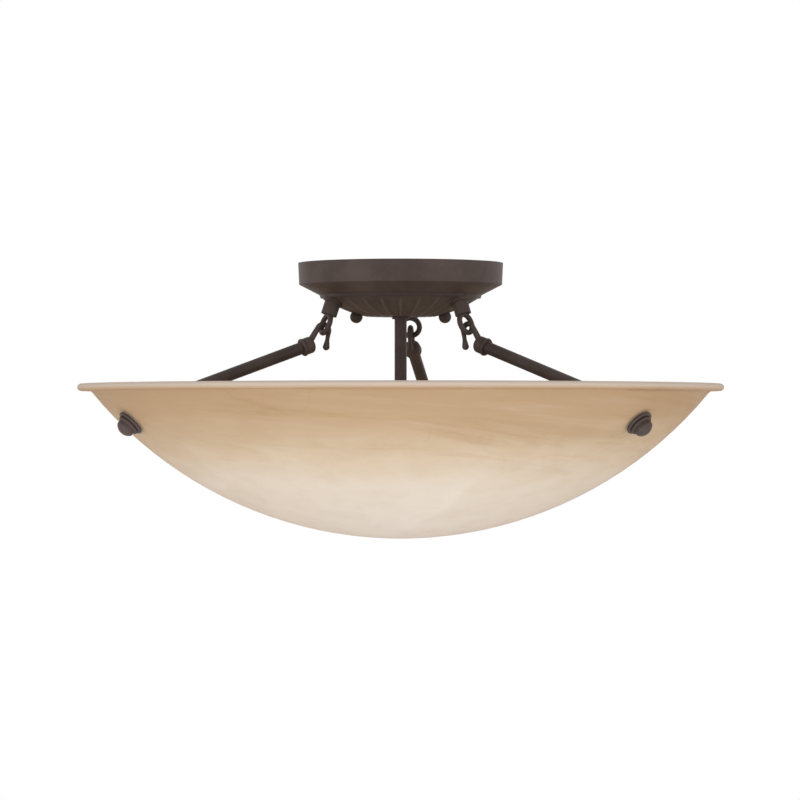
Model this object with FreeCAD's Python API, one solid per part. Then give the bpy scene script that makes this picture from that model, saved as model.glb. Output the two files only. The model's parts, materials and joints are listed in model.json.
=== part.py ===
import FreeCAD, Part
import math
import os

from FreeCAD import Rotation, Vector

# Semi flush ceiling light: a glass bowl hung from a small ceiling canopy by three bent rods.
# Millimetres. Z = 0 is the ceiling, the origin is on the canopy's axis, and +Z points into
# the ceiling. Azimuths are degrees about Z from +X, anticlockwise seen from above.

# ---- how the light is divided round its axis -------------------------------------------
ARMS = {"left": 203.0, "right": 323.0, "rear": 83.0}
LAMPS = {"front": 263.0, "right": 23.0, "left": 143.0}

# ---- canopy: a pressed pan with a straight wall, a cone and a fluted dome --------------
canopy_radius = 80.8
canopy_wall_draft = 0.8
canopy_wall_height = 17.0
canopy_cone_radius = 64.0
canopy_cone_depth = 25.2
canopy_sheet = 1.2
bead_radius = 63.2
bead_depth = 27.6
dome_radius = 61.4
dome_flat_radius = 27.5
dome_curve_radius = 95.0
canopy_depth = 42.0
flute_count = 24
flute_inset = 2.2
dome_sections = 4

# ---- mounting bar, its screws and the ball nuts ----------------------------------------
bar_length = 112.0
bar_width = 20.0
bar_thickness = 2.3
bar_end_round = 4.0
box_screw_spacing = 88.9
box_slot_travel = 7.0
box_slot_width = 4.8
bar_centre_hole = 10.6
canopy_screw_spacing = 69.85
canopy_screw_diameter = 4.1
canopy_screw_hole = 6.8
lock_nut_flats = 8.7
lock_nut_height = 3.2
ball_nut_diameter = 10.0
ball_nut_drop = 0.3
ball_nut_thread = 6.5
ground_screw_offset = 19.0
ground_screw_diameter = 3.4
ground_head_diameter = 7.4
ground_head_height = 2.2
driver_slot_width = 1.0

# ---- stem and the lamp cluster that it carries -----------------------------------------
stem_diameter = 9.6
stem_bore = 7.0
stem_above_nut = 3.0
stem_hole_play = 0.2
stem_nut_flats = 14.3
stem_nut_height = 4.2
collar_diameter = 13.6
collar_height = 2.1
lamp_height = -124.0
cluster_diameter = 42.0
cluster_height = 30.0
cluster_wall = 2.2
cover_thickness = 2.4
cover_spigot = 3.0
cover_play = 0.1
cap_nut_diameter = 13.0
cap_nut_height = 9.0
cap_nut_thread = 5.5
wire_hole = 5.0

# ---- lampholders -----------------------------------------------------------------------
nipple_bore = 6.6
nipple_inside_cluster = 6.0
nipple_inside_holder = 8.0
holder_gap = 9.0
holder_length = 44.0
holder_neck_diameter = 20.0
holder_shoulder = 12.0
holder_cap_diameter = 37.0
holder_body_diameter = 34.0
holder_mouth_diameter = 36.0
holder_mouth_length = 2.5
holder_floor = 15.0
holder_bore = 28.0
shell_outer = 27.8
shell_inner = 26.8
shell_length = 24.0
shell_inset = 2.5
contact_diameter = 8.0
contact_height = 2.2

# ---- bosses and closed rings under the canopy ------------------------------------------
boss_foot_radius = 57.2
boss_tilt = 19.0
boss_diameter = 12.6
boss_length = 11.9
boss_flange_diameter = 15.4
boss_flange_height = 2.4
ring_wire = 4.2
ring_radius = 7.5
ring_drop = 7.4
ring_seat_play = 0.1
ring_shank_diameter = 6.0
ring_shank_above = 9.5
ring_nut_flats = 10.0
ring_nut_height = 4.8
ring_nut_bevel = 2.2

# ---- open hooks, caps and rods ---------------------------------------------------------
hook_wire = 4.2
hook_shank_foot = 5.4
hook_curl_radius = 4.7
hook_curl_in = 0.1
hook_curl_up = 2.0
hook_tail_lean = 9.5
hook_tail_length = 12.3
hook_tail_neck = 3.4
hook_tail_taper = 4.5
hook_tail_ball = 5.4
cap_out = 13.1
cap_down = 10.2
cap_diameter = 14.2
cap_length = 10.4
cap_waist_diameter = 13.2
cap_nose_round = 3.2
cap_rim_length = 2.8
cap_rim_round = 0.7
cap_socket = 3.7
hook_in_cap = 0.6
rod_diameter = 9.6
rod_bore = 7.6
rod_bend = 15.0
rod_end_reach = 16.4

# ---- glass bowl ------------------------------------------------------------------------
bowl_depth = 217.0
bowl_sphere_radius = 313.0
bowl_glass = 4.0
lip_overhang = 12.1
lip_top = -95.2
lip_thickness = 5.6
lip_outer_fillet = 5.0
lip_inner_round = 9.0
glass_hole = 8.4
hole_below_flare = 19.5

# ---- the stack that clamps the glass: washer, gaskets, stud and finial -----------------
stud_diameter = 6.35
stud_in_finial = 9.4
washer_diameter = 19.0
washer_thickness = 1.5
gasket_diameter = 20.6
gasket_thickness = 1.0
gasket_play = 0.3
thread_play = 0.05
finial_base_diameter = 22.0
finial_base_height = 2.6
finial_step_diameter = 18.0
finial_step_height = 5.2
finial_edge_round = 0.9
finial_dome_diameter = 14.4
finial_dome_start = 8.2
finial_height = 12.0

UP = Vector(0, 0, 1)
DOWN = Vector(0, 0, -1)
CENTRE = Vector(0, 0, 0)


# ---- small helpers ---------------------------------------------------------------------
def at(radius, height):
    """A point of the radial plane at azimuth 0."""
    return Vector(radius, 0, height)


def heading(degrees):
    """A unit vector of the radial plane, in degrees above the outward direction."""
    angle = math.radians(degrees)
    return Vector(math.cos(angle), 0, math.sin(angle))


def turned(shape, azimuth):
    """A copy of a shape turned about the light's axis."""
    copy = shape.copy()
    copy.rotate(CENTRE, UP, azimuth)
    return copy


def placed(shape, base, direction):
    """A shape that was made along +Z, moved so that its axis starts at base."""
    copy = shape.copy()
    copy.Placement = FreeCAD.Placement(base, Rotation(UP, direction))
    return copy


def disc(diameter, height):
    return Part.makeCylinder(diameter / 2, height)


def washer(diameter, hole, thickness):
    return disc(diameter, thickness).cut(disc(hole, thickness))


def hex_nut(flats, hole, height):
    corner = Vector(flats / math.sqrt(3), 0, 0)
    corners = [Rotation(UP, 60 * k).multVec(corner) for k in range(7)]
    prism = Part.Face(Part.makePolygon(corners)).extrude(Vector(0, 0, height))
    return prism.cut(disc(hole, height))


def line(start, end):
    return Part.LineSegment(start, end).toShape()


def arc(start, middle, end):
    return Part.Arc(start, middle, end).toShape()


def arc_round(centre, start, end):
    """The shorter arc from start to end about a centre."""
    middle = (start + end - centre * 2).normalize() * (start - centre).Length
    return arc(start, centre + middle, end)


def rounded_edge(radius, bulge, low, high):
    """The bulged edge of a disc between two heights."""
    inner = radius - bulge
    return arc(at(inner, low), at(radius, (low + high) / 2), at(inner, high))


def spun(edges):
    """The solid that a closed outline of the radial plane sweeps round the Z axis."""
    return Part.Face(Part.Wire(edges)).revolve(CENTRE, UP, 360)


def spun_polygon(points):
    return spun(Part.makePolygon(points + points[:1]).Edges)


def tube_along(path, diameter):
    """A round bar that follows a path of tangent lines and arcs."""
    first = path.OrderedEdges[0]
    start = first.valueAt(first.FirstParameter)
    direction = first.tangentAt(first.FirstParameter)
    section = Part.Wire(Part.makeCircle(diameter / 2, start, direction))
    return path.makePipeShell([section], True, True)


# ---- places that several pieces share --------------------------------------------------
def boss_axis():
    """The direction in which a boss points, down and a little outward."""
    return heading(boss_tilt - 90)


def dome_curve_centre():
    """The middle of the arc that the dome's crests follow from the flat to the bead."""
    flat_edge, bead_edge = at(dome_flat_radius, -canopy_depth), at(dome_radius, -bead_depth)
    chord = bead_edge - flat_edge
    reach = math.sqrt(dome_curve_radius ** 2 - (chord.Length / 2) ** 2)
    return (flat_edge + bead_edge) / 2 + Vector(-chord.z, 0, chord.x).normalize() * reach


def dome_crest_radius(height):
    centre = dome_curve_centre()
    return centre.x + math.sqrt(dome_curve_radius ** 2 - (height - centre.z) ** 2)


def dome_crest_height(radius):
    centre = dome_curve_centre()
    return centre.z - math.sqrt(dome_curve_radius ** 2 - (radius - centre.x) ** 2)


def sheet_rise():
    """How far the canopy's inner face lies above its outer one, on the dome's mean slope."""
    return canopy_sheet * math.hypot(1, (canopy_depth - bead_depth) / (dome_radius - dome_flat_radius))


def boss_foot():
    """The middle of a boss's foot, level with the crests of the dome."""
    return at(boss_foot_radius, dome_crest_height(boss_foot_radius))


def boss_end():
    return boss_foot() + boss_axis() * boss_length


def ring_centre():
    return boss_end() + boss_axis() * ring_drop


def ring_wire_point():
    """The lowest point of a ring's centre line, where the hook takes hold."""
    return ring_centre() + boss_axis() * ring_radius


def curl_centre():
    return ring_wire_point() + Vector(-hook_curl_in, 0, hook_curl_up)


def cap_centre():
    return ring_wire_point() + Vector(cap_out, 0, -cap_down)


def sphere_centre():
    return at(0, bowl_sphere_radius - bowl_depth)


def lip_blend(sphere_radius, level, blend_radius):
    """Centre of the round that joins a sphere of the bowl to a level face of the lip."""
    height = level - blend_radius
    reach = sphere_radius + blend_radius
    return at(math.sqrt(reach ** 2 - (sphere_centre().z - height) ** 2), height)


def outer_flare():
    """Centre of the round under the lip."""
    return lip_blend(bowl_sphere_radius, lip_top - lip_thickness, lip_outer_fillet)


def sphere_foot(blend_centre, sphere_radius):
    """Where a round leaves its sphere."""
    return sphere_centre() + (blend_centre - sphere_centre()).normalize() * sphere_radius


def glass_hole_point():
    """Where the hole's axis leaves the outer face of the glass, a little inside the flare."""
    radius = sphere_foot(outer_flare(), bowl_sphere_radius).x - hole_below_flare
    drop = math.sqrt(bowl_sphere_radius ** 2 - radius ** 2)
    return sphere_centre() + Vector(radius, 0, -drop)


def glass_normal():
    return (glass_hole_point() - sphere_centre()).normalize()


def on_hole_axis(distance):
    """A point on the hole's axis, at a distance outside the outer face of the glass."""
    return glass_hole_point() + glass_normal() * distance


def inner_seat():
    """How far inside the outer face a flat gasket rests on the hollow inner face."""
    inner_radius = bowl_sphere_radius - bowl_glass
    half = gasket_diameter / 2
    return bowl_glass + inner_radius - math.sqrt(inner_radius ** 2 - half ** 2)


def rod_end_distance():
    return inner_seat() + gasket_thickness + washer_thickness


def rod_corner():
    return on_hole_axis(-rod_end_reach)


def rod_direction():
    return (rod_corner() - cap_centre()).normalize()


def screw_place(side):
    """Where the left (-1) or right (1) canopy screw leaves the ceiling."""
    return Vector(side * canopy_screw_spacing / 2, 0, 0)


def ball_nut_centre(side):
    """The ball sits in its hole, centred just under the dome's flat face."""
    return screw_place(side) + DOWN * (canopy_depth + ball_nut_drop)


# ---- mounting bar and screws -----------------------------------------------------------
def make_mounting_bar():
    bar = Part.makeBox(bar_length, bar_width, bar_thickness,
                       Vector(-bar_length / 2, -bar_width / 2, -bar_thickness))
    corners = [edge for edge in bar.Edges if math.hypot(edge.BoundBox.XLength, edge.BoundBox.YLength) < 1]
    bar = bar.makeFillet(bar_end_round, corners)
    bar = bar.cut(placed(disc(bar_centre_hole, bar_thickness), CENTRE, DOWN))
    for side in (-1, 1):
        bar = bar.cut(placed(disc(canopy_screw_diameter, bar_thickness), screw_place(side), DOWN))
        bar = bar.cut(box_slot(side))
    return bar.cut(placed(disc(ground_screw_diameter, bar_thickness), ground_place(), DOWN))


def box_slot(side):
    centre = Vector(side * box_screw_spacing / 2, 0, -bar_thickness)
    half = box_slot_travel / 2
    slot = Part.makeBox(box_slot_travel, box_slot_width, bar_thickness,
                        centre - Vector(half, box_slot_width / 2, 0))
    for end in (-half, half):
        slot = slot.fuse(placed(disc(box_slot_width, bar_thickness), centre + Vector(end, 0, 0), UP))
    return slot


def ground_place():
    return Vector(ground_screw_offset, 0, 0)


def make_ground_screw():
    head = disc(ground_head_diameter, ground_head_height)
    head = head.makeFillet(ground_head_height / 2, [head.Edges[0]])
    slot = Part.makeBox(ground_head_diameter, driver_slot_width, ground_head_height / 2,
                        Vector(-ground_head_diameter / 2, -driver_slot_width / 2, ground_head_height / 2))
    head = placed(head.cut(slot), ground_place() + Vector(0, 0, -bar_thickness), DOWN)
    return head.fuse(placed(disc(ground_screw_diameter, bar_thickness), ground_place(), DOWN))


def make_canopy_screws():
    length = canopy_depth + ball_nut_drop + ball_nut_thread - ball_nut_diameter / 2
    return [placed(disc(canopy_screw_diameter, length), screw_place(side), DOWN) for side in (-1, 1)]


def make_screw_lock_nuts():
    nut = hex_nut(lock_nut_flats, canopy_screw_diameter, lock_nut_height)
    return [placed(nut, screw_place(side) + DOWN * bar_thickness, DOWN) for side in (-1, 1)]


def make_ball_nut(side, canopy):
    centre = ball_nut_centre(side)
    ball = Part.makeSphere(ball_nut_diameter / 2, centre)
    top = centre + Vector(0, 0, ball_nut_diameter / 2)
    ball = ball.cut(placed(disc(canopy_screw_diameter, ball_nut_thread), top, DOWN))
    return ball.cut(canopy)


# ---- canopy ----------------------------------------------------------------------------
def flute_ring(share):
    """The scalloped outline of the dome at a share of its height. Its flutes fade at the bead."""
    height = share * (canopy_depth - bead_depth) - canopy_depth
    crest = dome_crest_radius(height)
    hollow = crest - flute_inset * (1 - share)
    half = 180 / flute_count
    scallop = [at(crest, height), Rotation(UP, half).multVec(at(hollow, height)),
               Rotation(UP, 2 * half).multVec(at(crest, height))]
    return Part.Wire([turned(arc(*scallop), 2 * half * k) for k in range(flute_count)])


def fluted_dome():
    """A shallow dome of sharp crests and wide hollows, under a flat middle."""
    shares = [k / (dome_sections - 1) for k in range(dome_sections)]
    return Part.makeLoft([flute_ring(share) for share in shares], True)


def canopy_form(dome, inset):
    """The canopy as a filled form, or its hollow when inset is the sheet's thickness."""
    rise = UP * (sheet_rise() * inset / canopy_sheet)
    lowered = dome.copy()
    lowered.translate(rise)
    upper = spun_polygon([
        at(0, 0),
        at(canopy_radius - inset, 0),
        at(canopy_radius - canopy_wall_draft - inset, -canopy_wall_height) + rise / 2,
        at(canopy_cone_radius, -canopy_cone_depth) + rise,
        at(bead_radius, -bead_depth) + rise,
        at(0, -bead_depth) + rise,
    ])
    return upper.fuse(lowered)


def make_canopy(form, hollow):
    canopy = form.cut(hollow)
    canopy = canopy.cut(placed(disc(stem_diameter + 2 * stem_hole_play, canopy_depth), CENTRE, DOWN))
    for side in (-1, 1):
        canopy = canopy.cut(placed(disc(canopy_screw_hole, canopy_depth), screw_place(side), DOWN))
    hole = placed(disc(shank_hole(), boss_length + ring_shank_above), boss_end(), -boss_axis())
    for azimuth in ARMS.values():
        canopy = canopy.cut(turned(hole, azimuth))
    return canopy


# ---- bosses, closed rings and their nuts -----------------------------------------------
def shank_hole():
    return ring_shank_diameter + 2 * ring_seat_play


def make_ring_boss(form):
    """A sleeve with a thin flange. Its foot fits the flutes and its mouth seats the ring."""
    reach = boss_length + ring_shank_above
    sleeve = placed(disc(boss_diameter, reach), boss_end(), -boss_axis())
    flange = placed(disc(boss_flange_diameter, reach), boss_end(), -boss_axis())
    lowered = form.copy()
    lowered.translate(boss_axis() * boss_flange_height)
    bore = placed(disc(shank_hole(), reach), boss_end(), -boss_axis())
    crown = Part.makeTorus(ring_radius, ring_wire / 2 + ring_seat_play, ring_centre(), heading(boss_tilt))
    return sleeve.fuse(flange.common(lowered)).cut(form).cut(bore).cut(crown)


def make_hook_ring():
    """A closed ring that stands across the radial plane, with a threaded shank."""
    ring = Part.makeTorus(ring_radius, ring_wire / 2, ring_centre(), heading(boss_tilt))
    crown = ring_centre() - boss_axis() * ring_radius
    shank_length = boss_length + ring_drop - ring_radius + ring_shank_above
    return ring.fuse(placed(disc(ring_shank_diameter, shank_length), crown, -boss_axis()))


def make_ring_nut(hollow):
    """A hex nut on the shank, with a bevelled foot that beds on the sloped sheet inside the canopy."""
    nut = hex_nut(ring_nut_flats, ring_shank_diameter, ring_nut_height + ring_nut_bevel)
    return placed(nut, boss_foot(), -boss_axis()).common(hollow)


# ---- open hook, cap and rod of one arm -------------------------------------------------
def curl_start_angle():
    """Where the line from the cap's centre touches the curl, in degrees above outward."""
    reach = cap_centre() - curl_centre()
    return math.degrees(math.atan2(reach.z, reach.x) + math.acos(hook_curl_radius / reach.Length))


def curl_point(degrees):
    return curl_centre() + heading(degrees) * hook_curl_radius


def make_rod_hook():
    """A cane of round wire, thicker at its foot, that reaches over the ring and ends in a tail."""
    start = curl_point(curl_start_angle())
    end = curl_point(180 + hook_tail_lean)
    inward = (start - cap_centre()).normalize()
    foot = cap_centre() + inward * hook_in_cap
    shank = Part.makeCone(hook_shank_foot / 2, hook_wire / 2, (start - foot).Length)
    curl = tube_along(Part.Wire([arc_round(curl_centre(), start, end)]), hook_wire)
    cane = curl.fuse(placed(shank, foot, inward))
    return cane.fuse(placed(hook_tail(), end, heading(hook_tail_lean - 90)))


def hook_tail():
    """The tail made along +Z: it narrows to a neck, then swells and ends in a ball."""
    neck, ball = hook_tail_neck / 2, hook_tail_ball / 2
    neck_end = hook_tail_length - 2 * ball
    tail = spun_polygon([at(0, 0), at(hook_wire / 2, 0), at(neck, hook_tail_taper), at(neck, neck_end),
                         at(ball, hook_tail_length), at(0, hook_tail_length)])
    return tail.fuse(Part.makeSphere(ball, at(0, hook_tail_length)))


def make_rod_cap(hook, rod):
    """A cup with a rounded nose and a raised rim, on the rod's upper end, that also holds the hook."""
    waist, rim = cap_waist_diameter / 2, cap_diameter / 2
    rim_start = cap_length - cap_rim_length
    body = spun([
        line(at(0, 0), at(waist - cap_nose_round, 0)),
        arc_round(at(waist - cap_nose_round, cap_nose_round), at(waist - cap_nose_round, 0),
                  at(waist, cap_nose_round)),
        line(at(waist, cap_nose_round), at(waist, rim_start)),
        line(at(waist, rim_start), at(rim - cap_rim_round, rim_start)),
        rounded_edge(rim, cap_rim_round, rim_start, cap_length),
        line(at(rim - cap_rim_round, cap_length), at(0, cap_length)),
        line(at(0, cap_length), at(0, 0)),
    ])
    cap = placed(body, cap_centre() - rod_direction() * (cap_length / 2), rod_direction())
    return cap.cut(hook).cut(rod.fuse(rod_core()))


def rod_core():
    start = cap_centre() + rod_direction() * rod_top()
    return placed(disc(rod_bore, cap_length), start, rod_direction())


def rod_top():
    """How far beyond the cap's centre the rod's upper end lies."""
    return cap_length / 2 - cap_socket


def rod_path():
    """Straight down the arm, then one bend that sets the end square to the glass."""
    along, across = rod_direction(), glass_normal()
    trim = rod_bend * math.tan(along.getAngle(across) / 2)
    bend_start = rod_corner() - along * trim
    bend_end = rod_corner() + across * trim
    bend_centre = rod_corner() + (across - along).normalize() * math.hypot(rod_bend, trim)
    return Part.Wire([
        line(cap_centre() + along * rod_top(), bend_start),
        arc_round(bend_centre, bend_start, bend_end),
        line(bend_end, on_hole_axis(-rod_end_distance())),
    ])


def make_rod():
    return tube_along(rod_path(), rod_diameter).cut(tube_along(rod_path(), rod_bore))


# ---- glass bowl ------------------------------------------------------------------------
def bowl_outline():
    """Half the bowl's section: outer sphere, flare, round lip edge, crown and inner sphere."""
    inner_radius = bowl_sphere_radius - bowl_glass
    flare = outer_flare()
    crown = lip_blend(inner_radius, lip_top, lip_inner_round)
    flare_foot = sphere_foot(flare, bowl_sphere_radius)
    flare_top = flare + UP * lip_outer_fillet
    crown_foot = sphere_foot(crown, inner_radius)
    crown_top = crown + UP * lip_inner_round
    edge = lip_thickness / 2
    edge_centre = at(flare_foot.x + lip_overhang - edge, lip_top - edge)
    pole_out = sphere_centre() + DOWN * bowl_sphere_radius
    pole_in = sphere_centre() + DOWN * inner_radius
    return [
        arc_round(sphere_centre(), pole_out, flare_foot),
        arc_round(flare, flare_foot, flare_top),
        line(flare_top, edge_centre + DOWN * edge),
        arc(edge_centre + DOWN * edge, edge_centre + at(edge, 0), edge_centre + UP * edge),
        line(edge_centre + UP * edge, crown_top),
        arc_round(crown, crown_top, crown_foot),
        arc_round(sphere_centre(), crown_foot, pole_in),
        line(pole_in, pole_out),
    ]


def make_glass_bowl():
    bowl = spun(bowl_outline())
    hole = on_hole_axis_solid(disc(glass_hole, 4 * bowl_glass), -2 * bowl_glass)
    for azimuth in ARMS.values():
        bowl = bowl.cut(turned(hole, azimuth))
    return bowl


# ---- the stack on a hole's axis: stud, washer, gaskets and finial ----------------------
def on_hole_axis_solid(shape, distance):
    """A shape made along +Z, set on the hole's axis with its foot at a distance outside."""
    return placed(shape, on_hole_axis(distance), glass_normal())


def stud_tip_distance():
    return gasket_thickness + stud_in_finial


def make_rod_stud():
    """A plug in the rod's bore and a thinner threaded stud that runs through the glass."""
    plug = on_hole_axis_solid(disc(rod_bore, stud_plug_length()), -rod_end_distance() - stud_plug_length())
    stud_length = rod_end_distance() + stud_tip_distance()
    return plug.fuse(on_hole_axis_solid(disc(stud_diameter, stud_length), -rod_end_distance()))


def stud_plug_length():
    """The plug fills the straight end of the rod, up to its bend."""
    trim = rod_bend * math.tan(rod_direction().getAngle(glass_normal()) / 2)
    return rod_end_reach - trim - rod_end_distance()


def make_inner_washer():
    return on_hole_axis_solid(washer(washer_diameter, stud_diameter, washer_thickness),
                              -rod_end_distance())


def make_inner_gasket():
    return on_hole_axis_solid(washer(gasket_diameter, stud_diameter, gasket_thickness),
                              -inner_seat() - gasket_thickness)


def make_outer_gasket():
    return on_hole_axis_solid(washer(gasket_diameter, stud_diameter + 2 * gasket_play, gasket_thickness), 0)


def make_finial():
    """A beehive knob: a round-edged foot, a step and a dome, each narrower than the last."""
    base, step, dome = finial_base_diameter / 2, finial_step_diameter / 2, finial_dome_diameter / 2
    cap_height = finial_height - finial_dome_start
    cap_radius = (dome ** 2 + cap_height ** 2) / (2 * cap_height)
    body = spun([
        line(at(0, 0), at(base - finial_edge_round, 0)),
        rounded_edge(base, finial_edge_round, 0, finial_base_height),
        line(at(base - finial_edge_round, finial_base_height),
             at(step - finial_edge_round, finial_base_height)),
        rounded_edge(step, finial_edge_round, finial_base_height, finial_step_height),
        line(at(step - finial_edge_round, finial_step_height), at(dome, finial_step_height)),
        line(at(dome, finial_step_height), at(dome, finial_dome_start)),
        arc_round(at(0, finial_height - cap_radius), at(dome, finial_dome_start), at(0, finial_height)),
        line(at(0, finial_height), at(0, 0)),
    ])
    bore = disc(stud_diameter + 2 * thread_play, stud_in_finial + thread_play)
    return on_hole_axis_solid(body.cut(bore), gasket_thickness)


# ---- stem and cluster ------------------------------------------------------------------
def make_stem():
    """A threaded tube from inside the canopy down through the cluster to the cap nut."""
    top = sheet_rise() - canopy_depth + stem_nut_height + stem_above_nut
    bottom = cluster_bottom() - cover_thickness - cap_nut_thread
    stem = Part.makeCylinder(stem_diameter / 2, top - bottom, at(0, bottom))
    stem = stem.cut(Part.makeCylinder(stem_bore / 2, top - bottom, at(0, bottom)))
    side_hole = placed(disc(wire_hole, stem_diameter), at(0, lamp_height), at(1, 0))
    for azimuth in LAMPS.values():
        stem = stem.cut(turned(side_hole, azimuth))
    return stem


def cluster_top():
    return lamp_height + cluster_height / 2


def cluster_bottom():
    return lamp_height - cluster_height / 2


def make_stem_collar():
    return placed(washer(collar_diameter, stem_diameter, collar_height), at(0, -canopy_depth), DOWN)


def make_stem_nut():
    """The lock nut inside the canopy."""
    seat = at(0, sheet_rise() - canopy_depth)
    return placed(hex_nut(stem_nut_flats, stem_diameter, stem_nut_height), seat, UP)


def make_cluster_nut():
    return placed(hex_nut(stem_nut_flats, stem_diameter, stem_nut_height), at(0, cluster_top()), UP)


def make_cluster_body():
    """A cup, open below, with a port for each lampholder's nipple."""
    body = placed(disc(cluster_diameter, cluster_height), at(0, cluster_bottom()), UP)
    hollow = placed(disc(cluster_diameter - 2 * cluster_wall, cluster_height - cluster_wall),
                    at(0, cluster_bottom()), UP)
    body = body.cut(hollow).cut(placed(disc(stem_diameter, cluster_wall), at(0, cluster_top()), DOWN))
    port = placed(disc(stem_diameter, cluster_diameter), at(0, lamp_height), at(1, 0))
    for azimuth in LAMPS.values():
        body = body.cut(turned(port, azimuth))
    return body


def make_cluster_cover():
    """A plate under the cluster with a spigot that centres it in the cup."""
    spigot = cluster_diameter - 2 * cluster_wall - 2 * cover_play
    seat = at(0, cluster_bottom())
    plate = placed(washer(cluster_diameter, stem_diameter, cover_thickness), seat, DOWN)
    return plate.fuse(placed(washer(spigot, spigot - 2 * cluster_wall, cover_spigot), seat, UP))


def make_cluster_cap_nut():
    knob = disc(cap_nut_diameter, cap_nut_height)
    knob = knob.makeFillet(cap_nut_diameter / 4, [knob.Edges[0]])
    seat = at(0, cluster_bottom() - cover_thickness)
    return placed(knob.cut(disc(stem_diameter, cap_nut_thread)), seat, DOWN)


# ---- lampholders, made along +Z with the cluster's wall at Z = 0 -----------------------
def on_lamp_axis(shape, distance):
    return placed(shape, at(cluster_diameter / 2 + distance, lamp_height), at(1, 0))


def make_lamp_nipple():
    length = nipple_inside_cluster + holder_gap + nipple_inside_holder
    return on_lamp_axis(washer(stem_diameter, nipple_bore, length), -nipple_inside_cluster)


def make_lampholder():
    """A moulded holder: neck, domed cap, barrel and mouth ring round an open bore."""
    neck, cap, barrel = holder_neck_diameter / 2, holder_cap_diameter / 2, holder_body_diameter / 2
    mouth = holder_mouth_diameter / 2
    lip = holder_length - holder_mouth_length
    cap_edge = holder_shoulder + holder_mouth_length
    body = spun_polygon([
        at(0, 0), at(neck, 0), at(neck, holder_shoulder / 3), at(cap, holder_shoulder), at(cap, cap_edge),
        at(barrel, cap_edge + holder_mouth_length), at(barrel, lip), at(mouth, lip),
        at(mouth, holder_length), at(0, holder_length),
    ])
    bore = Part.makeCylinder(holder_bore / 2, holder_length, at(0, holder_floor))
    socket = disc(stem_diameter, nipple_inside_holder)
    channel = disc(wire_hole, holder_length)
    return on_lamp_axis(body.cut(bore).cut(socket).cut(channel), holder_gap)


def make_screw_shell():
    return on_lamp_axis(washer(shell_outer, shell_inner, shell_length),
                        holder_gap + holder_length - shell_inset - shell_length)


def make_centre_contact():
    """A sprung button on the holder's floor."""
    foot = Part.makeCone(contact_diameter / 2, contact_diameter / 4, contact_height)
    return on_lamp_axis(foot, holder_gap + holder_floor)


# ---- build -----------------------------------------------------------------------------
def build():
    """Every piece in its own named node, at rest."""
    dome = fluted_dome()
    form, hollow = canopy_form(dome, 0), canopy_form(dome, canopy_sheet)
    canopy = make_canopy(form, hollow)
    rod, hook = make_rod(), make_rod_hook()
    pieces = {
        "mounting_bar": make_mounting_bar(),
        "ground_screw": make_ground_screw(),
        "canopy_screws": Part.makeCompound(make_canopy_screws()),
        "screw_lock_nuts": Part.makeCompound(make_screw_lock_nuts()),
        "canopy": canopy,
        "ball_nut_left": make_ball_nut(-1, canopy),
        "ball_nut_right": make_ball_nut(1, canopy),
        "stem": make_stem(),
        "stem_collar": make_stem_collar(),
        "stem_lock_nut": make_stem_nut(),
        "cluster_lock_nut": make_cluster_nut(),
        "cluster_body": make_cluster_body(),
        "cluster_cover": make_cluster_cover(),
        "cluster_cap_nut": make_cluster_cap_nut(),
        "glass_bowl": make_glass_bowl(),
    }
    for side, azimuth in ARMS.items():
        pieces["ring_boss_" + side] = turned(make_ring_boss(turned(form, -azimuth)), azimuth)
        pieces["hook_ring_" + side] = turned(make_hook_ring(), azimuth)
        pieces["ring_nut_" + side] = turned(make_ring_nut(turned(hollow, -azimuth)), azimuth)
        pieces["rod_hook_" + side] = turned(hook, azimuth)
        pieces["rod_cap_" + side] = turned(make_rod_cap(hook, rod), azimuth)
        pieces["rod_" + side] = turned(rod, azimuth)
        pieces["rod_stud_" + side] = turned(make_rod_stud(), azimuth)
        pieces["inner_washer_" + side] = turned(make_inner_washer(), azimuth)
        pieces["inner_gasket_" + side] = turned(make_inner_gasket(), azimuth)
        pieces["outer_gasket_" + side] = turned(make_outer_gasket(), azimuth)
        pieces["finial_" + side] = turned(make_finial(), azimuth)
    for side, azimuth in LAMPS.items():
        pieces["lamp_nipple_" + side] = turned(make_lamp_nipple(), azimuth)
        pieces["lampholder_" + side] = turned(make_lampholder(), azimuth)
        pieces["screw_shell_" + side] = turned(make_screw_shell(), azimuth)
        pieces["centre_contact_" + side] = turned(make_centre_contact(), azimuth)
    return pieces


def main():
    os.makedirs("parts", exist_ok=True)
    for name, shape in build().items():
        shape.exportStep("parts/" + name + ".step")


main()
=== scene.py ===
import json
import math

import bpy
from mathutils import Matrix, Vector


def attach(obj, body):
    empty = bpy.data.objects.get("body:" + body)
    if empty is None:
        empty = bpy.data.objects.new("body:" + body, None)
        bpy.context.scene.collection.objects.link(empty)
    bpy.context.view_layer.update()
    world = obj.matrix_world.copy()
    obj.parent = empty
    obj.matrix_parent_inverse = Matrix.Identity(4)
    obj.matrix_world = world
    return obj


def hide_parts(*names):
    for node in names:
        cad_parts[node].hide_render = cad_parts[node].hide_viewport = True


# Semi flush ceiling light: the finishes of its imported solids, its threads and its small fittings.
# Metres. Z = 0 is the ceiling, the light's axis is Z, and the camera looks along +Y.

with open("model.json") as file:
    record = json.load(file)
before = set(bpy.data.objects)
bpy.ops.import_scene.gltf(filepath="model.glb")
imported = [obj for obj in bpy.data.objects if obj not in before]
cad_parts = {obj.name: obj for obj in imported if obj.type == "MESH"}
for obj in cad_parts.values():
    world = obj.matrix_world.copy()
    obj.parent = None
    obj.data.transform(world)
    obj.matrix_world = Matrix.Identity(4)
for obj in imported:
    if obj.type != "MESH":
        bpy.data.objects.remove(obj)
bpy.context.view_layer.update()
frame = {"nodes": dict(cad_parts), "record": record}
nodes = frame["nodes"]
SLOT_OF = {part["node"]: part["material_slot"] for part in frame["record"]["subparts"]}

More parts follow.
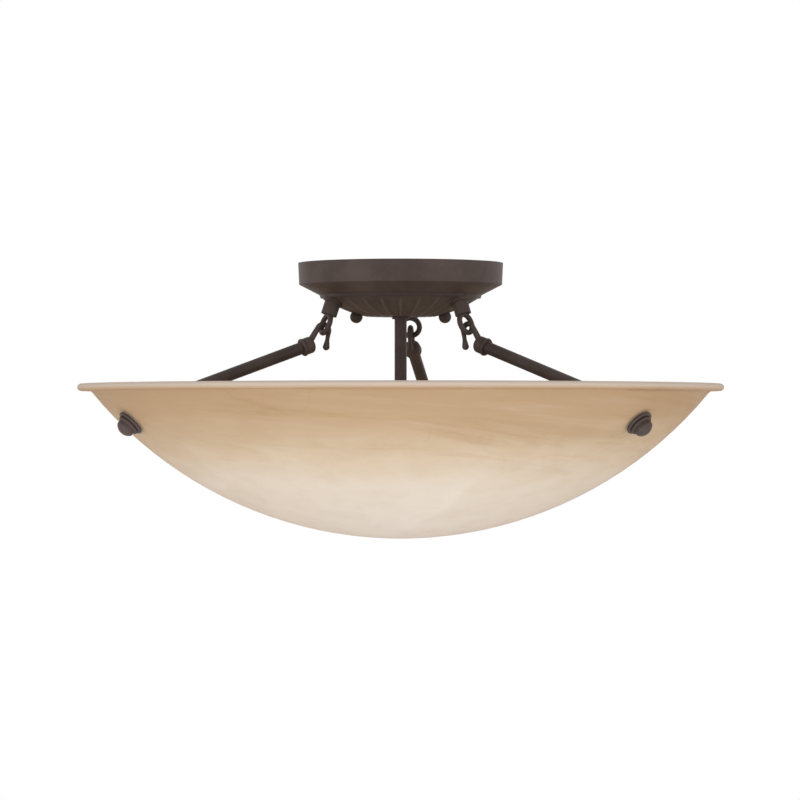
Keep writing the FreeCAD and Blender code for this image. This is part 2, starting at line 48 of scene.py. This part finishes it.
ARMS = {"left": 203.0, "right": 323.0, "rear": 83.0}
LAMPS = {"front": 263.0, "right": 23.0, "left": 143.0}

# ---- sizes of the threads and small fittings ---------------------------------------------
# A thread runs from its first value to its second: heights on the stem and screws, reach from
# the axis on the nipples, and distance from the foot on a ring's shank.
RIDGE_SHARE = 0.3
STEM_RADIUS = 0.0048
STEM_PITCH = 0.00094
STEM_TOP_THREAD = (-0.0363, -0.0336)
STEM_LOW_THREAD = (-0.1047, -0.0960)
NIPPLE_THREAD = (0.0212, 0.0298)
LAMP_HEIGHT = -0.124
SHANK_RADIUS = 0.0030
SHANK_PITCH = 0.0010
SHANK_FOOT = (0.0572, -0.030295)
SHANK_TILT = 19.0
SHANK_THREAD = (0.0073, 0.0093)
SCREW_RADIUS = 0.00205
SCREW_PITCH = 0.00079
SCREW_SPACING = 0.06985
SCREW_THREAD = (-0.0385, -0.0056)
STUD_RADIUS = 0.003175
STUD_PITCH = 0.00127
STUD_GROOVE = 0.0006
# How far a stud reaches to each side of the glass's outer face.
STUD_INSIDE = 0.0066717
STUD_OUTSIDE = 0.0104
PLUG_RADIUS = 0.0038
PLUG_LENGTH = 0.0064
# The glass's outer face is part of a sphere, and its holes lie HOLE_REACH from the axis.
HOLE_REACH = 0.2224
GLASS_SPHERE = 0.313
SPHERE_HEIGHT = 0.096
RIVET_RADIUS = 0.0016
RIVET_DOME = 0.55
RIVET_REACH = 0.0433
RIVET_SEAT = 0.0183
SHELL_START = 0.0475
SHELL_LENGTH = 0.024
SHELL_RADIUS = 0.01345
SHELL_WAVE = 0.00042
SHELL_PITCH = 0.003629
SHELL_WALL = 0.0003

# ---- camera ------------------------------------------------------------------------------
LENS = 157.5
CAMERA_DISTANCE = 2.76
CAMERA_HEIGHT = -0.1244
CAMERA_ASIDE = -0.0005
HORIZON_SHIFT = 0.02625


# ---- node trees in a few words -----------------------------------------------------------
class Wire:
    """One output of a node. Arithmetic on it adds Math nodes to the same tree."""

    def __init__(self, tree, socket):
        self.tree = tree
        self.socket = socket

    def math(self, operation, *values):
        return self.tree.add("ShaderNodeMath", {"operation": operation}, dict(enumerate(values)))

    def __add__(self, other):
        return self.math("ADD", self, other)

    def __sub__(self, other):
        return self.math("SUBTRACT", self, other)

    def __rsub__(self, other):
        return self.math("SUBTRACT", other, self)

    def __mul__(self, other):
        return self.math("MULTIPLY", self, other)

    def __truediv__(self, other):
        return self.math("DIVIDE", self, other)

    def __pow__(self, other):
        return self.math("POWER", self, other)

    def sine(self):
        return self.math("SINE", self)

    def absolute(self):
        return self.math("ABSOLUTE", self)

    def fraction(self):
        return self.math("FRACT", self)

    __radd__ = __add__
    __rmul__ = __mul__


class Tree:
    """A shader or geometry node tree."""

    def __init__(self, tree):
        self.tree = tree

    def add(self, kind, settings=None, sockets=None, output=0):
        """Adds a node: its settings first, then the values or links of its sockets."""
        node = self.tree.nodes.new(kind)
        for name, value in (settings or {}).items():
            if name == "stops":
                set_stops(node.color_ramp, value)
            else:
                setattr(node, name, value)
        for key, value in (sockets or {}).items():
            for wire in value if isinstance(value, list) else [value]:
                if isinstance(wire, Wire):
                    self.tree.links.new(wire.socket, node.inputs[key])
                else:
                    node.inputs[key].default_value = wire
        return Wire(self, node.outputs[output]) if len(node.outputs) else None


def set_stops(ramp, stops):
    while len(ramp.elements) < len(stops):
        ramp.elements.new(0.5)
    for element, (place, colour) in zip(ramp.elements, stops):
        element.position = place
        element.color = colour


def srgb(red, green, blue):
    """A colour from its 0 to 255 display values."""
    def linear(value):
        share = value / 255
        return share / 12.92 if share <= 0.04045 else ((share + 0.055) / 1.055) ** 2.4
    return linear(red), linear(green), linear(blue), 1.0


# ---- shader patterns ---------------------------------------------------------------------
def object_place(tree):
    return tree.add("ShaderNodeTexCoord", output="Object")


def stretched(tree, place, scale):
    return tree.add("ShaderNodeMapping", {}, {"Vector": place, "Scale": scale})


def tilted(tree, place, slant, scale):
    """Stretched after a turn of slant degrees about the Y axis."""
    turn = tree.add("ShaderNodeMapping", {}, {
        "Vector": place, "Rotation": (0.0, math.radians(slant), 0.0),
    })
    return stretched(tree, turn, scale)


def noise(tree, place, scale, detail=3.0, roughness=0.5, distortion=0.0):
    return tree.add("ShaderNodeTexNoise", {}, {
        "Vector": place, "Scale": scale,
        "Detail": detail, "Roughness": roughness, "Distortion": distortion,
    })


def rising(tree, value, low, high):
    """0 below low, 1 above high and a smooth step between."""
    return tree.add("ShaderNodeMapRange", {"interpolation_type": "SMOOTHSTEP"},
                    {"Value": value, "From Min": low, "From Max": high})


def mixed(tree, factor, first, second, mode="MIX"):
    """Two colours mixed, or the first changed by the second in another blend mode."""
    return tree.add("ShaderNodeMix", {"data_type": "RGBA", "blend_type": mode},
                    {0: factor, 6: first, 7: second}, output=2)


def part_of(tree, vector, axis):
    return tree.add("ShaderNodeSeparateXYZ", {}, {"Vector": vector}, output=axis)


def bump(tree, height, distance):
    return tree.add("ShaderNodeBump", {}, {"Height": height, "Distance": distance})


def finish(name, paint):
    """A material whose Principled shader gets the sockets that paint gives."""
    material = bpy.data.materials.new(name)
    material.use_nodes = True
    material.node_tree.nodes.clear()
    tree = Tree(material.node_tree)
    shader = tree.add("ShaderNodeBsdfPrincipled", {}, paint(tree, object_place(tree)))
    tree.add("ShaderNodeOutputMaterial", {}, {"Surface": shader})
    return material


# ---- the finishes ------------------------------------------------------------------------
BRONZE_TONES = srgb(82, 71, 67), srgb(98, 85, 81)
# The bronze tones darkened for the rods, as painted shade.
SHADED_ROD_TONES = srgb(73, 62, 58), srgb(88, 76, 72)
RUBBED_CLOUDS = 0.3, 0.72


def oil_rubbed_bronze(tree, place, light_shade_and_wear=None, tones=BRONZE_TONES):
    """Satin dark brown, clouded a little where it was rubbed, with a fine powder grain."""
    cloud = noise(tree, place, 34.0, detail=4.0, roughness=0.6)
    grain = noise(tree, place, 1500.0, detail=2.0)
    colour = mixed(tree, rising(tree, cloud, *RUBBED_CLOUDS), *tones)
    return {
        # The canopy's painted highlight, painted shade and rubbed wear are laid over the colour here.
        "Base Color": light_shade_and_wear(tree, place, colour) if light_shade_and_wear else colour,
        "Metallic": 0.1,
        "Specular IOR Level": 0.15,
        "Roughness": 0.42 + 0.12 * cloud + 0.06 * grain,
        "Normal": bump(tree, grain, 0.00002),
    }


# Heights on the canopy, from the flat under its dome up to the bead and the cove over it.
FLUTES = 24
FLAT_HEIGHT = -0.042
FLAT_SOFT = 0.0005
FLUTE_FADE = 0.005
BEAD_LOW = -0.0276
BEAD_HIGH = -0.0252
BEAD_SOFT = 0.0004
UNDERSIDE = -0.018, -0.024
# Shares of a flute, from 0 at a crest to 0.5 in the middle of the hollow beside it.
CREST_WIDTH = 0.14
HOLLOW_SIDE = 0.16, 0.24
HOLLOW_SOFT = 0.09
# Painted highlight and rubbed wear on the crests, and painted light on the underside, in this tone.
HIGHLIGHT_AND_WEAR_TONE = srgb(150, 134, 124)
CREST_HIGHLIGHT_AND_WEAR = 0.25
UNDERSIDE_PAINTED_LIGHT = 0.07
# Painted shade in the hollows beside the crests and round the bead.
PAINTED_SHADE_TONE = srgb(44, 37, 34)
HOLLOW_PAINTED_SHADE = 0.14
BEAD_PAINTED_SHADE = 0.3


def between(tree, value, low, high, soft):
    """1 from low to high and 0 outside, with soft edges."""
    return rising(tree, value, low - soft, low) * rising(tree, value, high + soft, high)


def flute_light_shade_and_wear(tree, place, colour):
    """The dome's crests are painted paler, as painted highlight and rubbed wear, and the whole underside
    a little paler as painted light. Painted shade lies beside the crests and round the bead."""
    side = part_of(tree, place, "Y")
    turn = side.math("ARCTAN2", side, part_of(tree, place, "X")) * (FLUTES / math.tau)
    ridge = turn.math("PINGPONG", turn, 0.5)
    height = part_of(tree, place, "Z")
    over_flat = rising(tree, height, FLAT_HEIGHT, FLAT_HEIGHT + FLAT_SOFT)
    dome = over_flat * rising(tree, height, BEAD_LOW, BEAD_LOW - FLUTE_FADE)
    crest = rising(tree, ridge, CREST_WIDTH, 0.0) * dome
    hollow = between(tree, ridge, *HOLLOW_SIDE, HOLLOW_SOFT) * dome
    bead = between(tree, height, BEAD_LOW, BEAD_HIGH, BEAD_SOFT)
    under = rising(tree, height, *UNDERSIDE)
    # Painted highlight and wear on the crests and painted light on the underside, then painted shade in
    # the hollows and round the bead.
    rubbed = mixed(tree, crest * CREST_HIGHLIGHT_AND_WEAR + under * UNDERSIDE_PAINTED_LIGHT, colour, HIGHLIGHT_AND_WEAR_TONE)
    return mixed(tree, hollow * HOLLOW_PAINTED_SHADE + bead * BEAD_PAINTED_SHADE, rubbed, PAINTED_SHADE_TONE)


def fluted_bronze(tree, place):
    return oil_rubbed_bronze(tree, place, flute_light_shade_and_wear)


def shaded_rod_bronze(tree, place):
    """The bronze a little darker on the rods, as painted shade."""
    return oil_rubbed_bronze(tree, place, tones=SHADED_ROD_TONES)


RIM_TOP = -0.0952
BOWL_BOTTOM = -0.217
# The glass's tones by level, from 0 at the bowl's bottom to 1 at its rim: its own amber tint, deepened
# towards the rim by painted shade.
GLASS_TINT_AND_PAINTED_SHADE = (
    (0.00, srgb(248, 236, 224)),
    (0.36, srgb(241, 226, 208)),
    (0.52, srgb(231, 210, 184)),
    (0.66, srgb(215, 188, 156)),
    (0.80, srgb(202, 171, 136)),
    (0.94, srgb(197, 165, 130)),
)
TONE_DRIFT = 0.18
UPPER_LEVELS = 0.25, 0.75
VEIL_LEVELS = 0.5, 0.3
LIP_LEVELS = 0.955, 0.985
STREAK_SLANT = -5.0
DARK_STREAKS = 0.50, 0.72
MILKY_STREAKS = 0.48, 0.26
MOTTLES = 0.40, 0.70
VEIN_WIDTH = 0.010
VEIL_SLANT = 35.6
VEIL_EDGE = 0.1755
VEIL_SPACING = 0.11
VEIL_DRIFT = 0.022
VEIL_FALL = 4.0
VEIL_CRISP = 0.95
# A thin amber casing over the glass. It deepens where the eye passes through more of it, at the
# bowl's edges, and the glass under it is paler by what the casing takes away at the front.
CASING_AMBER = (0.955, 0.916, 0.86, 1.0)
CASING_LOSS = (0.974, 0.952, 0.922, 1.0)


def alabaster_glass(tree, place):
    """Milky glass, amber under the lip and cream below, the amber partly painted shade, with clouds,
    streaks, veins and veils.
    """
    level = (part_of(tree, place, "Z") - BOWL_BOTTOM) / (RIM_TOP - BOWL_BOTTOM)
    cloud = noise(tree, stretched(tree, place, (1.0, 1.0, 1.9)), 17.0,
                  detail=6.0, roughness=0.62, distortion=0.5)
    mottle = noise(tree, stretched(tree, place, (1.0, 1.0, 1.6)), 42.0,
                   detail=5.0, roughness=0.6, distortion=0.4)
    streak = noise(tree, tilted(tree, place, STREAK_SLANT, (6.0, 6.0, 70.0)), 1.0,
                   detail=6.0, roughness=0.66, distortion=0.9)
    # Amber towards the rim, partly painted shade.
    tone = tree.add("ShaderNodeValToRGB", {"stops": GLASS_TINT_AND_PAINTED_SHADE},
                    {"Fac": level + (cloud - 0.5) * TONE_DRIFT})
    upper = rising(tree, level, *UPPER_LEVELS)
    # Where each layer lies, how much of it shows and its colour.
    layers = (
        (rising(tree, streak, *DARK_STREAKS) * upper, 0.32, srgb(176, 138, 96)),
        (rising(tree, streak, *MILKY_STREAKS), 0.14, srgb(240, 226, 206)),
        (rising(tree, mottle, *MOTTLES), 0.11, srgb(198, 164, 128)),
        (vein(tree, place) * upper, 0.06, srgb(150, 110, 70)),
        (veil(tree, place) * rising(tree, level, *VEIL_LEVELS), 0.42, srgb(255, 246, 234)),
        # The pale band round the lip, partly the glass's pale edge and partly painted highlight.
        (rising(tree, level, *LIP_LEVELS), 0.8, srgb(232, 216, 202)),
    )
    for where, amount, colour in layers:
        tone = mixed(tree, where * amount, tone, colour)
    return {
        "Base Color": mixed(tree, 1.0, tone, CASING_LOSS, "DIVIDE"),
        "Roughness": 0.34 + 0.12 * cloud,
        "Specular IOR Level": 0.03,
        "Coat Weight": 0.35,
        "Coat Roughness": 0.4,
        "Coat IOR": 1.002,
        "Coat Tint": CASING_AMBER,
        "Normal": bump(tree, cloud, 0.0002),
    }


def vein(tree, place):
    """Hair lines where a wandering noise crosses its middle value."""
    wander = noise(tree, place, 8.0, distortion=0.6)
    return rising(tree, (wander - 0.5).absolute(), VEIN_WIDTH, 0.0)


def veil(tree, place):
    """Pale folds that brighten towards a crisp lower edge, one after another down the glass."""
    slant = math.radians(VEIL_SLANT)
    across = part_of(tree, place, "X") * math.sin(slant) - part_of(tree, place, "Z") * math.cos(slant)
    drift = noise(tree, place, 22.0, detail=5.0, roughness=0.6) - 0.5
    share = ((across + drift * VEIL_DRIFT - VEIL_EDGE) / VEIL_SPACING).fraction()
    return share ** VEIL_FALL * rising(tree, share, 1.0, VEIL_CRISP)


GASKET_TONES = srgb(150, 143, 133), srgb(172, 165, 154)
ZINC_TONES = srgb(172, 172, 168), srgb(204, 204, 202)
DYE_TONES = srgb(26, 112, 54), srgb(42, 138, 70)
PORCELAIN_TONES = srgb(236, 234, 226), srgb(206, 200, 186)
PORCELAIN_SPECKS = 0.66, 0.74
BRASS_TONES = srgb(214, 178, 98), srgb(178, 140, 74)
BRASS_TARNISH = 0.4, 0.75


def clear_gasket(tree, place):
    return {
        "Base Color": mixed(tree, noise(tree, place, 180.0), *GASKET_TONES),
        "Roughness": 0.38,
    }


def zinc_plate(tree, place):
    spangle = noise(tree, place, 260.0, detail=2.0)
    return {
        "Base Color": mixed(tree, spangle, *ZINC_TONES),
        "Metallic": 1.0,
        "Roughness": 0.30 + 0.16 * spangle,
        "Normal": bump(tree, noise(tree, place, 900.0), 0.00001),
    }


def green_screw_dye(tree, place):
    return {
        "Base Color": mixed(tree, noise(tree, place, 300.0), *DYE_TONES),
        "Metallic": 0.6,
        "Roughness": 0.34,
    }


def porcelain(tree, place):
    speck = rising(tree, noise(tree, place, 420.0, detail=2.0), *PORCELAIN_SPECKS)
    return {
        "Base Color": mixed(tree, speck * 0.3, *PORCELAIN_TONES),
        "Roughness": 0.16 + 0.06 * noise(tree, place, 60.0),
        "Coat Weight": 0.5,
    }


def brass(tree, place):
    tarnish = rising(tree, noise(tree, place, 70.0, detail=4.0, roughness=0.6), *BRASS_TARNISH)
    return {
        "Base Color": mixed(tree, tarnish, *BRASS_TONES),
        "Metallic": 1.0,
        "Roughness": 0.22 + 0.16 * tarnish,
    }


FINISHES = {
    "bronze": finish("oil_rubbed_bronze", oil_rubbed_bronze),
    "alabaster_glass": finish("alabaster_glass", alabaster_glass),
    "clear_gasket": finish("clear_gasket", clear_gasket),
    "galvanised_steel": finish("zinc_plate", zinc_plate),
    "green_screw": finish("green_screw_dye", green_screw_dye),
    "porcelain": finish("porcelain", porcelain),
    "brass": finish("brass", brass),
}


def dress_solids():
    """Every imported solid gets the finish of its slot, and the canopy and rods their own."""
    # The rods get a darker copy of the bronze as painted shade.
    own = dict.fromkeys(("rod_" + side for side in ARMS), finish("shaded_rod_bronze", shaded_rod_bronze))
    own["canopy"] = finish("fluted_bronze", fluted_bronze)
    for name, node in nodes.items():
        for slot in node.material_slots:
            slot.material = own.get(name, FINISHES[SLOT_OF[name]])


# ---- geometry node trees -----------------------------------------------------------------
def geometry_tree(name, inputs):
    """An empty tree with a geometry input and output and the named inputs. Returns its wires."""
    group = bpy.data.node_groups.new(name, "GeometryNodeTree")
    group.interface.new_socket("Geometry", in_out="OUTPUT", socket_type="NodeSocketGeometry")
    group.interface.new_socket("Places", in_out="INPUT", socket_type="NodeSocketGeometry")
    for label, kind in inputs.items():
        group.interface.new_socket(label, in_out="INPUT", socket_type="NodeSocket" + kind)
    entry = group.nodes.new("NodeGroupInput")
    tree = Tree(group)
    return group, tree, {socket.name: Wire(tree, socket) for socket in entry.outputs if socket.name}


def end_tree(tree, geometry, material):
    real = tree.add("GeometryNodeRealizeInstances", {}, {"Geometry": geometry})
    done = tree.add("GeometryNodeSetMaterial", {}, {"Geometry": real, "Material": material})
    tree.add("NodeGroupOutput", {}, {"Geometry": done})


def set_on_places(tree, places, shape):
    """One copy of a shape on each point, with its Z axis along the point's stored direction."""
    direction = tree.add("GeometryNodeInputNamedAttribute", {"data_type": "FLOAT_VECTOR"},
                         {"Name": "direction"})
    turn = tree.add("FunctionNodeAlignRotationToVector", {"axis": "Z"}, {"Vector": direction})
    return tree.add("GeometryNodeInstanceOnPoints", {},
                    {"Points": places, "Instance": shape, "Rotation": turn})


def thread_tree():
    """A ridge that winds up a straight bar, one for each place."""
    group, tree, given = geometry_tree("thread_ridge", {
        "Radius": "Float", "Pitch": "Float", "Length": "Float", "Ridge": "Float", "Finish": "Material",
    })
    helix = tree.add("GeometryNodeCurveSpiral", {}, {
        "Resolution": 28, "Rotations": given["Length"] / given["Pitch"], "Reverse": True,
        "Start Radius": given["Radius"], "End Radius": given["Radius"], "Height": given["Length"],
    })
    section = tree.add("GeometryNodeCurvePrimitiveCircle", {},
                       {"Resolution": 4, "Radius": given["Ridge"]})
    ridge = tree.add("GeometryNodeCurveToMesh", {},
                     {"Curve": helix, "Profile Curve": section, "Fill Caps": True})
    end_tree(tree, set_on_places(tree, given["Places"], ridge), given["Finish"])
    return group


def helix_phase(tree, place, pitch):
    """Rises by one for each turn of a right-hand thread round Z."""
    side = part_of(tree, place, "Y")
    turn = side.math("ARCTAN2", side, part_of(tree, place, "X")) / math.tau
    return part_of(tree, place, "Z") / pitch - turn


def scaled_round_axis(tree, shape, place, scale):
    """Moves a shape's points to or from the Z axis."""
    moved = tree.add("ShaderNodeCombineXYZ", {}, {
        "X": part_of(tree, place, "X") * scale, "Y": part_of(tree, place, "Y") * scale,
        "Z": part_of(tree, place, "Z"),
    })
    return tree.add("GeometryNodeSetPosition", {}, {"Geometry": shape, "Position": moved})


def rolled_shell_tree():
    """A thin sleeve whose wall winds in and out as a rolled lamp thread does."""
    group, tree, given = geometry_tree("rolled_shell", {
        "Radius": "Float", "Wave": "Float", "Pitch": "Float", "Length": "Float", "Finish": "Material",
    })
    sleeve = tree.add("GeometryNodeMeshCylinder", {"fill_type": "NONE"}, {
        "Vertices": 48, "Side Segments": 60, "Radius": given["Radius"], "Depth": given["Length"],
    })
    place = tree.add("GeometryNodeInputPosition")
    wave = (helix_phase(tree, place, given["Pitch"]) * math.tau).sine()
    rolled = scaled_round_axis(tree, sleeve, place, 1.0 + wave * given["Wave"] / given["Radius"])
    end_tree(tree, set_on_places(tree, given["Places"], rolled), given["Finish"])
    return group


def threaded_stud_tree():
    """A plug with a thinner bar out of it, whose wall is cut by a V thread."""
    group, tree, given = geometry_tree("threaded_stud", {
        "Radius": "Float", "Depth": "Float", "Pitch": "Float", "Length": "Float",
        "Plug Radius": "Float", "Plug Length": "Float", "Finish": "Material",
    })
    bar = tree.add("GeometryNodeMeshCylinder", {"fill_type": "TRIANGLE_FAN"}, {
        "Vertices": 28, "Side Segments": 110, "Radius": given["Radius"], "Depth": given["Length"],
    })
    place = tree.add("GeometryNodeInputPosition")
    groove = place.math("PINGPONG", helix_phase(tree, place, given["Pitch"]), 0.5) * 2.0
    cut = scaled_round_axis(tree, bar, place, 1.0 - groove * given["Depth"] / given["Radius"])
    lift = tree.add("ShaderNodeCombineXYZ", {}, {"Z": given["Length"] / 2})
    plug = tree.add("GeometryNodeMeshCylinder", {"fill_type": "TRIANGLE_FAN"}, {
        "Vertices": 48, "Radius": given["Plug Radius"], "Depth": given["Plug Length"],
    })
    drop = tree.add("ShaderNodeCombineXYZ", {}, {"Z": given["Plug Length"] / -2})
    stud = tree.add("GeometryNodeJoinGeometry", {}, {"Geometry": [
        tree.add("GeometryNodeTransform", {}, {"Geometry": cut, "Translation": lift}),
        tree.add("GeometryNodeTransform", {}, {"Geometry": plug, "Translation": drop}),
    ]})
    end_tree(tree, set_on_places(tree, given["Places"], stud), given["Finish"])
    return group


def rivet_tree():
    """Small domed rivet heads, one for each place."""
    group, tree, given = geometry_tree("rivet_head", {"Radius": "Float", "Finish": "Material"})
    ball = tree.add("GeometryNodeMeshUVSphere", {},
                    {"Segments": 16, "Rings": 8, "Radius": given["Radius"]})
    head = tree.add("GeometryNodeTransform", {}, {"Geometry": ball, "Scale": (1.0, 1.0, RIVET_DOME)})
    end_tree(tree, set_on_places(tree, given["Places"], head), given["Finish"])
    return group


def set_inputs(modifier, values):
    """Sets a modifier's named inputs by the identifier of each socket."""
    for item in modifier.node_group.interface.items_tree:
        if item.in_out == "INPUT" and item.name in values:
            modifier[item.identifier] = values[item.name]


def grown(name, group, places, values, wall=0.0):
    """Runs a tree on places, (point, direction) pairs, and keeps the result as a plain mesh."""
    seeds = bpy.data.meshes.new(name + "_places")
    seeds.from_pydata([point for point, _ in places], [], [])
    stored = seeds.attributes.new("direction", "FLOAT_VECTOR", "POINT")
    stored.data.foreach_set("vector", [value for _, way in places for value in way])
    seed_object = bpy.data.objects.new(name + "_seeds", seeds)
    bpy.context.scene.collection.objects.link(seed_object)
    modifier = seed_object.modifiers.new("grow", "NODES")
    modifier.node_group = group
    set_inputs(modifier, values)
    if wall:
        thicken = seed_object.modifiers.new("wall", "SOLIDIFY")
        thicken.thickness = wall
        thicken.offset = 1.0
    evaluated = seed_object.evaluated_get(bpy.context.evaluated_depsgraph_get())
    mesh = bpy.data.meshes.new_from_object(evaluated)
    bpy.data.objects.remove(seed_object)
    mesh.name = name
    while mesh.materials[0] is None:
        mesh.materials.pop(index=0)
    piece = bpy.data.objects.new(name, mesh)
    bpy.context.scene.collection.objects.link(piece)
    return piece


# ---- places on the light -----------------------------------------------------------------
def radial_point(azimuth, radius, height):
    angle = math.radians(azimuth)
    return Vector((radius * math.cos(angle), radius * math.sin(angle), height))


def radial_way(azimuth):
    return radial_point(azimuth, 1.0, 0.0)


THREADS = thread_tree()
ROLLED_SHELL = rolled_shell_tree()
THREADED_STUD = threaded_stud_tree()
RIVETS = rivet_tree()


def fit(piece, body):
    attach(piece, body)
    return piece


def cut_thread(name, places, radius, pitch, length, slot):
    piece = grown(name, THREADS, places, {
        "Radius": radius, "Pitch": pitch, "Length": length, "Ridge": pitch * RIDGE_SHARE,
        "Finish": FINISHES[slot],
    })
    return fit(piece, "fixed_canopy")


def length_of(run):
    return run[1] - run[0]


def make_threads():
    """Ridges on the stretches of thread that no nut or holder covers."""
    up = Vector((0, 0, 1))
    for name, run in (("stem_top_thread", STEM_TOP_THREAD), ("stem_low_thread", STEM_LOW_THREAD)):
        cut_thread(name, [(up * run[0], up)], STEM_RADIUS, STEM_PITCH, length_of(run), "bronze")
    nipples = [(radial_point(azimuth, NIPPLE_THREAD[0], LAMP_HEIGHT), radial_way(azimuth))
               for azimuth in LAMPS.values()]
    cut_thread("nipple_threads", nipples, STEM_RADIUS, STEM_PITCH, length_of(NIPPLE_THREAD),
               "galvanised_steel")
    screws = [(Vector((side * SCREW_SPACING / 2, 0, SCREW_THREAD[0])), up) for side in (-1, 1)]
    cut_thread("canopy_screw_threads", screws, SCREW_RADIUS, SCREW_PITCH, length_of(SCREW_THREAD),
               "galvanised_steel")
    shanks = []
    for azimuth in ARMS.values():
        tilt = math.radians(SHANK_TILT)
        way = radial_point(azimuth, -math.sin(tilt), math.cos(tilt))
        shanks.append((radial_point(azimuth, *SHANK_FOOT) + way * SHANK_THREAD[0], way))
    cut_thread("ring_shank_threads", shanks, SHANK_RADIUS, SHANK_PITCH, length_of(SHANK_THREAD), "bronze")


def make_screw_shells():
    """The rolled brass shells take the place of the plain ones."""
    middle = SHELL_START + SHELL_LENGTH / 2
    places = [(radial_point(azimuth, middle, LAMP_HEIGHT), radial_way(azimuth))
              for azimuth in LAMPS.values()]
    shells = grown("rolled_screw_shells", ROLLED_SHELL, places, {
        "Radius": SHELL_RADIUS, "Wave": SHELL_WAVE, "Pitch": SHELL_PITCH, "Length": SHELL_LENGTH,
        "Finish": FINISHES["brass"],
    }, wall=SHELL_WALL)
    fit(shells, "fixed_canopy")
    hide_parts(*("screw_shell_" + side for side in LAMPS))


def make_studs():
    """The studs through the glass, with their threads, take the place of the plain ones."""
    slant = math.asin(HOLE_REACH / GLASS_SPHERE)
    hole_height = SPHERE_HEIGHT - GLASS_SPHERE * math.cos(slant)
    places = []
    for azimuth in ARMS.values():
        way = radial_point(azimuth, math.sin(slant), -math.cos(slant))
        places.append((radial_point(azimuth, HOLE_REACH, hole_height) - way * STUD_INSIDE, way))
    studs = grown("threaded_studs", THREADED_STUD, places, {
        "Radius": STUD_RADIUS, "Depth": STUD_GROOVE, "Pitch": STUD_PITCH,
        "Length": STUD_INSIDE + STUD_OUTSIDE, "Plug Radius": PLUG_RADIUS, "Plug Length": PLUG_LENGTH,
        "Finish": FINISHES["galvanised_steel"],
    })
    fit(studs, "hanging_bowl")
    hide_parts(*("rod_stud_" + side for side in ARMS))


def make_holder_rivets():
    """Two brass rivets hold each lampholder's cap to its barrel."""
    places = []
    for azimuth in LAMPS.values():
        for side in (-1, 1):
            way = radial_way(azimuth + side * 90)
            foot = radial_point(azimuth, RIVET_REACH, LAMP_HEIGHT)
            places.append((foot + way * RIVET_SEAT, way))
    rivets = grown("holder_rivets", RIVETS, places, {"Radius": RIVET_RADIUS, "Finish": FINISHES["brass"]})
    fit(rivets, "fixed_canopy")


# ---- studio ------------------------------------------------------------------------------
BLACK = (0.0, 0.0, 0.0, 1.0)
WHITE = (1.0, 1.0, 1.0, 1.0)
FLOOR_HEIGHT = -3.0
FLOOR_RADIUS = 9.0
FLOOR_TONES = (0.80, 0.80, 0.80, 1.0), (0.84, 0.84, 0.84, 1.0)
FLOOR_GLOW = (0.36, 0.36, 0.36, 1.0)
AMBIENT = 0.54
# The place, side and power of each soft box. All of them point at AIM, inside the light.
SOFT_BOXES = {
    "left_box": ((-2.3, -1.9, -0.6), 2.2, 20.0),
    "right_box": ((2.3, -1.9, -0.6), 2.2, 16.0),
    "low_box": ((0.2, -2.1, -1.9), 2.4, 21.5),
}
AIM = Vector((0, 0, -0.12))


def seen_directly(tree):
    """1 where the camera, a reflection or a refraction sees a surface, and 0 where it only lights."""
    seen = tree.add("ShaderNodeLightPath", output="Is Camera Ray")
    glossy = tree.add("ShaderNodeLightPath", output="Is Glossy Ray")
    through = tree.add("ShaderNodeLightPath", output="Is Transmission Ray")
    return seen.math("MAXIMUM", seen, glossy.math("MAXIMUM", glossy, through))


def make_floor():
    """A plain pale floor. Its glow makes it pale to the eye and adds no light to the object."""
    mesh = bpy.data.meshes.new("studio_floor")
    rim = [radial_point(angle, FLOOR_RADIUS, FLOOR_HEIGHT) for angle in range(0, 360, 5)]
    mesh.from_pydata(rim, [], [list(range(len(rim)))])
    floor = bpy.data.objects.new("studio_floor", mesh)
    bpy.context.scene.collection.objects.link(floor)
    material = bpy.data.materials.new("studio_floor")
    material.use_nodes = True
    material.node_tree.nodes.clear()
    tree = Tree(material.node_tree)
    pale = mixed(tree, noise(tree, object_place(tree), 2.0), *FLOOR_TONES)
    matt = tree.add("ShaderNodeBsdfPrincipled", {}, {
        "Base Color": pale, "Roughness": 0.9, "Emission Strength": 1.0,
        "Emission Color": mixed(tree, seen_directly(tree), BLACK, FLOOR_GLOW),
    })
    tree.add("ShaderNodeOutputMaterial", {}, {"Surface": matt})
    mesh.materials.append(material)


def make_world():
    """White where the camera, a reflection or a refraction sees it, and softer as a light."""
    world = bpy.data.worlds.new("studio")
    world.use_nodes = True
    world.node_tree.nodes.clear()
    tree = Tree(world.node_tree)
    strength = AMBIENT + seen_directly(tree) * (1.0 - AMBIENT)
    light = tree.add("ShaderNodeBackground", {}, {"Color": WHITE, "Strength": strength})
    tree.add("ShaderNodeOutputWorld", {}, {"Surface": light})
    bpy.context.scene.world = world


def make_lights():
    for name, (place, size, power) in SOFT_BOXES.items():
        lamp = bpy.data.lights.new(name, "AREA")
        lamp.shape = "SQUARE"
        lamp.size = size
        lamp.energy = power
        box = bpy.data.objects.new(name, lamp)
        box.location = place
        box.rotation_euler = (AIM - Vector(place)).to_track_quat("-Z", "Y").to_euler()
        bpy.context.scene.collection.objects.link(box)


def make_camera():
    data = bpy.data.cameras.new("photo_camera")
    data.lens = LENS
    data.shift_y = HORIZON_SHIFT
    camera = bpy.data.objects.new("photo_camera", data)
    camera.location = (CAMERA_ASIDE, -CAMERA_DISTANCE, CAMERA_HEIGHT)
    camera.rotation_euler = (math.pi / 2, 0, 0)
    bpy.context.scene.collection.objects.link(camera)
    bpy.context.scene.camera = camera


dress_solids()
make_threads()
make_screw_shells()
make_studs()
make_holder_rivets()
make_floor()
make_world()
make_lights()
make_camera()
bpy.context.scene.view_settings.view_transform = "Standard"
